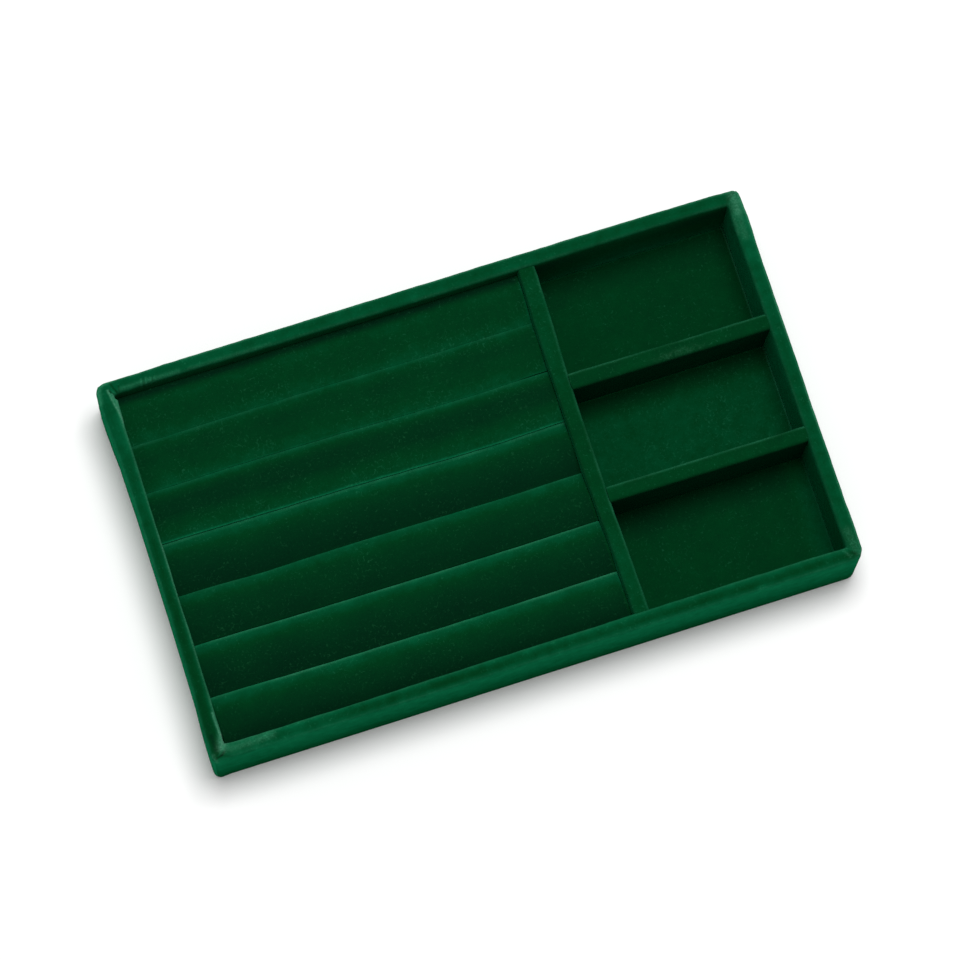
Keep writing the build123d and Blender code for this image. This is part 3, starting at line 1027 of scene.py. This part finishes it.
def settled(start, held):
    """Where a grid's points come to rest as cloth under pressure from below, pinned where it is
    held."""
    numbers = np.arange(held.size).reshape(held.shape)
    mesh = bpy.data.meshes.new("settling")
    mesh.from_pydata(start.reshape(-1, 3).tolist(), [], quads(numbers).tolist())
    cover = bpy.data.objects.new("settling", mesh)
    bpy.context.scene.collection.objects.link(cover)
    cover.vertex_groups.new(name="pins").add(numbers[held].tolist(), 1.0, "REPLACE")
    modifier = cover.modifiers.new("settling", "CLOTH")
    modifier.settings.vertex_group_mass = "pins"
    modifier.settings.use_pressure = True
    modifier.settings.uniform_pressure_force = foam_pressure
    modifier.settings.shrink_min = modifier.settings.shrink_max = -cut_too_long
    modifier.settings.effector_weights.gravity = 0.0
    modifier.collision_settings.use_collision = False
    for moment in range(1, settling_frames + 1):
        bpy.context.scene.frame_set(moment)
    rested = cover.evaluated_get(bpy.context.evaluated_depsgraph_get())
    end = np.empty(start.size, np.float32)
    rested.data.vertices.foreach_get("co", end)
    bpy.context.scene.frame_set(1)
    bpy.data.objects.remove(cover)
    return end.reshape(start.shape)


def refined(shift, rows, columns, shape):
    """Moves of a coarse grid, known at these rows and columns of a fine one, for all points of
    the fine one: in straight lines from column to column, and then from row to row."""
    points = np.arange(shape[1])
    lines = [
        [np.interp(points, columns, line) for line in axis] for axis in shift.transpose(2, 0, 1)
    ]
    fine = np.stack([np.stack(axis) for axis in lines], -1)
    along = np.interp(np.arange(shape[0]), rows, np.arange(len(rows)))
    row = np.minimum(along.astype(int), len(rows) - 2)
    past = (along - row)[:, None, None]
    return fine[row] * (1 - past) + fine[row + 1] * past


def swollen(grid, free):
    """How far each point of a grid moves when the free part of its top swells as cloth. Free
    runs from 0, held, to 1. No point moves further than the most that is allowed."""
    rows = np.arange(first_row, grid.shape[0] - first_row, every_row)
    columns = np.arange(first_column, grid.shape[1] - first_column, every_column)
    start, held = grid[np.ix_(rows, columns)], free[np.ix_(rows, columns)] < 0.1
    held[[0, -1]] = held[:, [0, -1]] = True
    shift = settled(start, held) - start
    size = np.linalg.norm(shift, axis=-1, keepdims=True)
    print(f"{held.size} points, {held.sum()} held, moved by {size.max() / mm:.2f} mm at most")
    shift *= most_swell / np.maximum(size, most_swell)
    return refined(shift, rows, columns, grid.shape)


# %% Make the rolls
for number in range(1, roll_count + 1):
    face, from_back, wide, folded = roll_grid(number, 0)
    back = roll_grid(number, velvet - glue)[0]
    nap, edge = roll_paint(face, from_back, wide, folded, number)
    # Only the crown is free to rise: the sides are pressed and the ends folded
    crown = bell(from_back - wide / 2, 0.42 * wide)
    crown = crown * smooth_step((face[..., 2] - 24 * mm) / (4 * mm))
    lift = 0.06 * mm * ripple(face, 28 * mm, 200 + number)
    lift = lift + 0.03 * mm * ripple(face, 6 * mm, 210 + number)
    swell = swollen(face, crown) * crown[..., None]
    face = face + normals(face) * (lift * crown)[..., None] + swell
    lint = 0.18 + 0.15 * ripple(face, 30 * mm, 240 + number)
    if number <= tight_rolls:
        lint = lint + 0.08 + 0.2 * smooth_step(2 * from_back / wide - 1)
    paint = {"nap": nap, "edge": edge, "lint": lint}
    piece = cloth(f"ring_roll_{number}_cover", face, back, ("left", "right"), **paint)
    dress(piece, "ring_pad", f"ring_roll_{number}_velvet", "velvet")
    core = roll_grid(number, velvet)[0]
    core = np.concatenate([core, core[:, :1]], axis=1)
    corners = np.arange(core.shape[0] * core.shape[1]).reshape(core.shape[:2])
    foam = new_piece(f"ring_roll_{number}_core", core, quads(corners))
    dress(foam, "ring_pad", f"ring_roll_{number}_foam", "foam")
print("rolls:", roll_count, "of", len(piece.data.polygons), "quads")

# %% [markdown]
# ## The felt underneath
#
# A rectangle of felt is glued under the base, inside the turned-under edges of the velvet. A
# box would do for its outline, but its face is a grid, like the other covers, so that it can
# ripple a little.

# %% Make the felt
felt_rows, felt_columns = 120, 70
low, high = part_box("bottom_lining")
x = np.linspace(low.x, high.x, felt_rows)[:, None]
y = np.linspace(high.y, low.y, felt_columns)[None]
felt_face = np.stack(np.broadcast_arrays(x, y, low.z + glue), -1)
felt_back = felt_face + np.array([0, 0, velvet - 2 * glue])
felt_face[..., 2] += 0.03 * mm * ripple(felt_face, 12 * mm, 300)
piece = cloth("bottom_felt", felt_face, felt_back, ("start", "end", "left", "right"))
dress(piece, "tray", "bottom_lining", "lining")
print("felt", [round(side / mm) for side in (high.x - low.x, high.y - low.y)], "mm")

# %% [markdown]
# ## Colours and nodes
#
# Colours are written as the sRGB hex values that a colour picker shows, and turned to the
# linear values that Blender computes with. One function adds a node. Its inputs are named, or
# in the order in which the node shows them, and each is a value or another node to link.

# %% Helpers for materials
def linear(hex_colour):
    """sRGB to linear: a power of 2.4 after a small shift, and a straight line near black."""
    srgb = np.array([int(hex_colour[start : start + 2], 16) for start in (1, 3, 5)]) / 255
    value = np.where(srgb <= 0.04045, srgb / 12.92, ((srgb + 0.055) / 1.055) ** 2.4)
    return (*value.tolist(), 1.0)


def add(tree, kind, inputs=(), **properties):
    """Adds a shader node with its properties, values and links. A node that is given as an
    input links its first output."""
    node = tree.nodes.new(f"ShaderNode{kind}")
    for name, value in properties.items():
        setattr(node, name, value)
    for name, value in inputs.items() if isinstance(inputs, dict) else enumerate(inputs):
        if isinstance(value, bpy.types.Node):
            value = value.outputs[0]
        if isinstance(value, bpy.types.NodeSocket):
            tree.links.new(value, node.inputs[name])
        else:
            node.inputs[name].default_value = value
    return node


def new_material(name):
    """An empty node material and its output node."""
    material = bpy.data.materials.new(name)
    material.use_nodes = True
    material.node_tree.nodes.clear()
    return material, material.node_tree, material.node_tree.nodes.new("ShaderNodeOutputMaterial")


def set_stops(ramp, stops):
    """Gives a colour ramp its colours by their place from 0 to 1."""
    while len(ramp.elements) < len(stops):
        ramp.elements.new(0.5)
    for element, (place, hex_colour) in zip(ramp.elements, stops.items()):
        element.position, element.color = place, linear(hex_colour)


print("#808080 in linear light:", round(linear("#808080")[0], 3))

# %% [markdown]
# ## Velvet
#
# Velvet is a woven cloth with a dense cut pile, here about half a millimetre long. Looked at
# straight on you see down between the threads, which is dark. Near an edge you see their sides,
# which are light: that is the sheen. Most of that sheen, and the shade, is painted into the nap,
# which chooses the green, clumps of threads make it grainy, and fine lint catches the light here
# and there.

# %% The velvet material: the sizes of its patterns
velvet_material, tree, output = new_material("emerald_velvet")
place = add(tree, "TexCoord").outputs["Object"]
# The nap holds painted shade and sheen, and the edge the painted highlights along the folds
labels = ("nap", "edge", "lint")
nap, edge, lint_share = (
    add(tree, "Attribute", attribute_name=label).outputs["Fac"] for label in labels
)
# Each pattern's real size in millimetres, its detail and its roughness
pattern_sizes = {
    # Threads of the pile lean together in clumps
    "clumps": (0.8, 2.0, 0.6),
    # Patches where a hand has brushed the pile
    "brushed": (5, 3.0, 0.6),
    # Tufts that break the painted highlight along a fold
    "fray": (0.55, 1.0, 0.5),
    # The bends of a lint thread, how much of it shows, and where lint has drifted together
    "bends": (1.6, 0.0, 0.5),
    "bits": (1.1, 1.0, 0.5),
    "drifts": (11, 1.0, 0.5),
    # Specks of dust
    "dust": (0.5, 0.0, 0.5),
    # A single thread is a twentieth of a millimetre thick, far less than a pixel shows, so the
    # relief of the threads is drawn seven times as coarse
    "threads": (0.35, 2.0, 0.5),
}
patterns = {}
for name, (size, detail, roughness) in pattern_sizes.items():
    inputs = {"Vector": place, "Scale": 1 / (size * mm), "Detail": detail, "Roughness": roughness}
    patterns[name] = add(tree, "TexNoise", inputs)
    print(f"{name}: {size} mm")

# %% The velvet material: nap and grain
# A range's inputs are its value, from low to high, and to low and high
grain = add(tree, "MapRange", (patterns["clumps"], 0.25, 0.75, -0.035, 0.035))
# Brushed patches show most where the nap, with its painted sheen, is light
patch_strength = add(tree, "MapRange", (nap, 0, 0.5, 0, 0.42))
patch = add(tree, "Math", (patterns["brushed"], 0.5), operation="SUBTRACT")
level = add(tree, "Math", (patch, patch_strength, nap), operation="MULTIPLY_ADD")
level = add(tree, "Math", (level, grain), operation="ADD")
print("nodes so far:", len(tree.nodes))

# %% The velvet material: painted highlights along the folds, broken into tufts
tufts = add(tree, "MapRange", (patterns["fray"], 0.35, 0.65, 0.55, 1.3))
line = add(tree, "Math", (edge, tufts), operation="MULTIPLY")
level = add(tree, "Math", (line, 0.45, level), operation="MULTIPLY_ADD")
print("nodes so far:", len(tree.nodes))

# %% [markdown]
# Lint is a web of bent threads, of which only short bits show. A Voronoi texture has its cells'
# borders as thin lines. Moving its coordinates by a noise bends them, and a second noise hides
# all but a few stretches. Where more lint has collected, it hides less. A real lint thread is
# a fiftieth of a millimetre thick. These are a tenth or more, or they wouldn't show.

# %% The velvet material: lint
bend_size, web_size = 1.6 * mm, 1.9 * mm
bends = patterns["bends"].outputs["Color"]
bent = add(tree, "VectorMath", (bends, (bend_size,) * 3, place), operation="MULTIPLY_ADD")
web = add(
    tree, "TexVoronoi", {"Vector": bent, "Scale": 1 / web_size}, feature="DISTANCE_TO_EDGE"
)
thread = add(tree, "MapRange", (web, 0.03, 0.07, 1, 0))
shown = add(tree, "Math", (lint_share, 0.25, patterns["bits"]), operation="MULTIPLY_ADD")
where = add(tree, "MapRange", (shown, 0.6, 0.72))
short_threads = add(tree, "Math", (thread, where), operation="MULTIPLY")
specks = add(tree, "MapRange", (patterns["dust"], 0.74, 0.84, 0, 0.5))
lint = add(tree, "Math", (short_threads, specks), operation="MAXIMUM")
drift = add(tree, "MapRange", (patterns["drifts"], 0.35, 0.65, 0.3))
lint = add(tree, "Math", (lint, drift), operation="MULTIPLY")
level = add(tree, "Math", (lint, 0.17, level), operation="MULTIPLY_ADD")
print("nodes so far:", len(tree.nodes))

# %% The velvet material: colour and surface
# The level runs from -0.3 to 1 and the colour ramp from 0 to 1
spread = add(tree, "MapRange", (level, -0.3, 1.0))
pile_colour = add(tree, "ValToRGB", (spread,))
# The greens turn the level, with its painted shade and sheen, into colour
greens = {
    0.0: "#010A07",
    0.23: "#032213",
    0.42: "#023518",
    0.62: "#034729",
    0.81: "#085938",
    1.0: "#106B46",
}
set_stops(pile_colour.color_ramp, greens)
# Lint and the painted highlights along the folds are frosted: less green, more grey
lint_and_highlight_frost = add(tree, "Math", (lint, 0.04, 0.0), operation="MULTIPLY_ADD")
lint_and_highlight_frost = add(tree, "Math", (line, 0.33, lint_and_highlight_frost), operation="MULTIPLY_ADD", use_clamp=True)
grey_green = linear("#58806E")
colours = {"Factor": lint_and_highlight_frost, "A": pile_colour, "B": grey_green}
colour = add(tree, "Mix", colours, data_type="RGBA").outputs["Result"]
relief = add(
    tree, "Bump", {"Height": patterns["threads"], "Strength": 0.5, "Distance": 0.12 * mm}
)
# Pile has no gloss, only a faint green sheen
surface = {
    "Base Color": colour,
    "Roughness": 1.0,
    "Specular IOR Level": 0.0,
    "Sheen Weight": 0.15,
    "Sheen Roughness": 0.4,
    "Sheen Tint": linear("#00A060"),
    "Normal": relief,
}
tree.links.new(add(tree, "BsdfPrincipled", surface).outputs[0], output.inputs["Surface"])
print(velvet_material.name, "has", len(tree.nodes), "nodes")

# %% [markdown]
# ## What the velvet hides
#
# These show only when the insert is lifted or the tray is turned over. The felt is a mat of
# fibres, which looks soft and mottled. The foam has open cells that show as fine pits. The card
# is grey pulp with darker flecks, and the board is faced with dark green paper, so that it
# doesn't shine through a gap. Each is two colours mixed by a noise of the real grain's size,
# with that grain as relief. A photo of each would be truer, but a noise has no seam or border.

# %% Materials of the felt, foam, card and board
hidden = {
    # Slot: name, two colours, size of the grain in millimetres, relief, roughness
    "lining": ("pressed_felt", "#0C1F15", "#17301F", 0.9, 0.6, 1.0),
    "foam": ("open_cell_foam", "#BDBBB0", "#D6D4CB", 0.6, 0.8, 0.95),
    "card": ("grey_pulp_card", "#8F877A", "#B5AC9B", 1.4, 0.25, 0.9),
    "fibreboard": ("papered_fibreboard", "#050F09", "#0A1A11", 1.8, 0.2, 0.85),
}
materials = {"velvet": velvet_material}
for slot_name, (name, dark, light, grain_size, strength, roughness) in hidden.items():
    materials[slot_name], tree, output = new_material(name)
    place = add(tree, "TexCoord").outputs["Object"]
    scale = 1 / (grain_size * mm)
    inputs = {"Vector": place, "Scale": scale, "Detail": 4.0, "Roughness": 0.65}
    fibres = add(tree, "TexNoise", inputs)
    tone = add(tree, "ValToRGB", (fibres,))
    set_stops(tone.color_ramp, {0.35: dark, 0.65: light})
    inputs = {"Height": fibres, "Strength": strength, "Distance": 0.1 * mm}
    surface = {
        "Base Color": tone,
        "Roughness": roughness,
        "Specular IOR Level": 0.2,
        "Normal": add(tree, "Bump", inputs),
    }
    tree.links.new(add(tree, "BsdfPrincipled", surface).outputs[0], output.inputs["Surface"])
    print(f"{name}: grain of {grain_size} mm")

# %% Give every piece its material
# A piece made here has its slot from above, and a CAD solid has it from the record
node_slot = {part["node"]: part["material_slot"] for part in frame["record"]["subparts"]}
for piece in bpy.context.scene.objects:
    if piece.type == "MESH":
        slot_name = piece.get("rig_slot") or node_slot[piece.name]
        piece.data.materials.clear()
        piece.data.materials.append(materials[slot_name])
print("materials:", [material.name for material in materials.values()])

# %% [markdown]
# ## Ground, light and camera
#
# The tray lies on white paper under one large soft light above its back edge, with an even room
# light round it. A studio would bend the paper up behind the tray, but the camera looks down,
# so a flat sheet does. It glows faintly for the camera alone, which keeps it white right up to
# the tray's shadow.

# %% Ground
# Paper is matt and scatters light evenly, so it has no gloss. It reaches far past every view.
reach = 4.0
corners = np.array([(-1, -1, 0), (1, -1, 0), (1, 1, 0), (-1, 1, 0)]) * reach
ground_mesh = bpy.data.meshes.new("ground")
ground_mesh.from_pydata(corners.tolist(), [], [(0, 1, 2, 3)])
ground = bpy.data.objects.new("ground", ground_mesh)
bpy.context.scene.collection.objects.link(ground)
material, tree, output = new_material("white_paper")
paper_look = {"Base Color": linear("#F8F8F8"), "Roughness": 0.9, "Specular IOR Level": 0.0}
rays = add(tree, "LightPath").outputs["Is Camera Ray"]
glow_level = add(tree, "Math", (rays, 0.02), operation="MULTIPLY")
glow = add(tree, "Emission", {"Color": linear("#FFFFFF"), "Strength": glow_level})
both = add(tree, "AddShader", (add(tree, "BsdfPrincipled", paper_look), glow))
tree.links.new(both.outputs[0], output.inputs["Surface"])
ground_mesh.materials.append(material)
print("ground:", 2 * reach, "m wide")

# %% Light
# The room lights the tray less than the camera sees of it, which is white
room_strength, seen_strength = 0.44, 1.0
world = bpy.data.worlds.new("studio")
bpy.context.scene.world = world
world.use_nodes = True
tree = world.node_tree
tree.nodes.clear()
rays = add(tree, "LightPath").outputs["Is Camera Ray"]
sky_level = add(tree, "MapRange", (rays, 0, 1, room_strength, seen_strength))
sky = add(tree, "Background", {"Color": linear("#FFFFFF"), "Strength": sky_level})
tree.links.new(sky.outputs[0], add(tree, "OutputWorld").inputs["Surface"])

# The softbox faces the middle of the tray and is turned a little about its own axis
lamp = bpy.data.lights.new("softbox", "AREA")
lamp.shape, lamp.size, lamp.size_y, lamp.energy = "RECTANGLE", 0.88, 0.82, 32.2
softbox = bpy.data.objects.new("softbox", lamp)
lamp_place = Vector((0.20, 0.28, 2.0))
facing = lamp_place.to_track_quat("Z", "Y").to_matrix().to_4x4()
own_turn = Matrix.Rotation(np.radians(12.5), 4, "Z")
softbox.matrix_world = Matrix.Translation(lamp_place) @ facing @ own_turn
bpy.context.scene.collection.objects.link(softbox)
print(f"softbox {lamp.size:.2f} by {lamp.size_y:.2f} m, {lamp_place.length:.2f} m away")

# %% [markdown]
# ### The camera
#
# The photo was taken from almost straight above with a long lens. A camera was fitted to the
# corners of the tray in it: its focal length, the point that it aims at, its distance from
# there, how far it is tilted from straight above and to which side, and its own roll.

# %% Camera
camera_data = bpy.data.cameras.new("camera")
camera = bpy.data.objects.new("camera", camera_data)
bpy.context.scene.collection.objects.link(camera)
bpy.context.scene.camera = camera
camera_data.lens = 187.908
camera_data.sensor_width = 36.0
camera_data.clip_end = 20.0
tilt, azimuth, roll = np.radians([12.774, -22.493, 4.658])
aim = np.array([2.133, 3.811, 0.0]) * mm
distance = 1913.2 * mm
sideways = np.array([np.sin(azimuth), -np.cos(azimuth), 0.0])
away = np.array([0.0, 0.0, np.cos(tilt)]) + np.sin(tilt) * sideways
up = -sideways + away * (sideways @ away)
up /= np.linalg.norm(up)
right = np.cross(-away, up)
rolled_right = np.cos(roll) * right + np.sin(roll) * up
rolled_up = np.cos(roll) * up - np.sin(roll) * right
turned = Matrix(np.stack([rolled_right, rolled_up, away], 1).tolist()).to_quaternion()
camera.matrix_world = Matrix.LocRotScale(Vector(aim + away * distance), turned, None)
bpy.context.scene.view_settings.view_transform = "Standard"
print("camera at", [round(value, 3) for value in camera.matrix_world.translation])
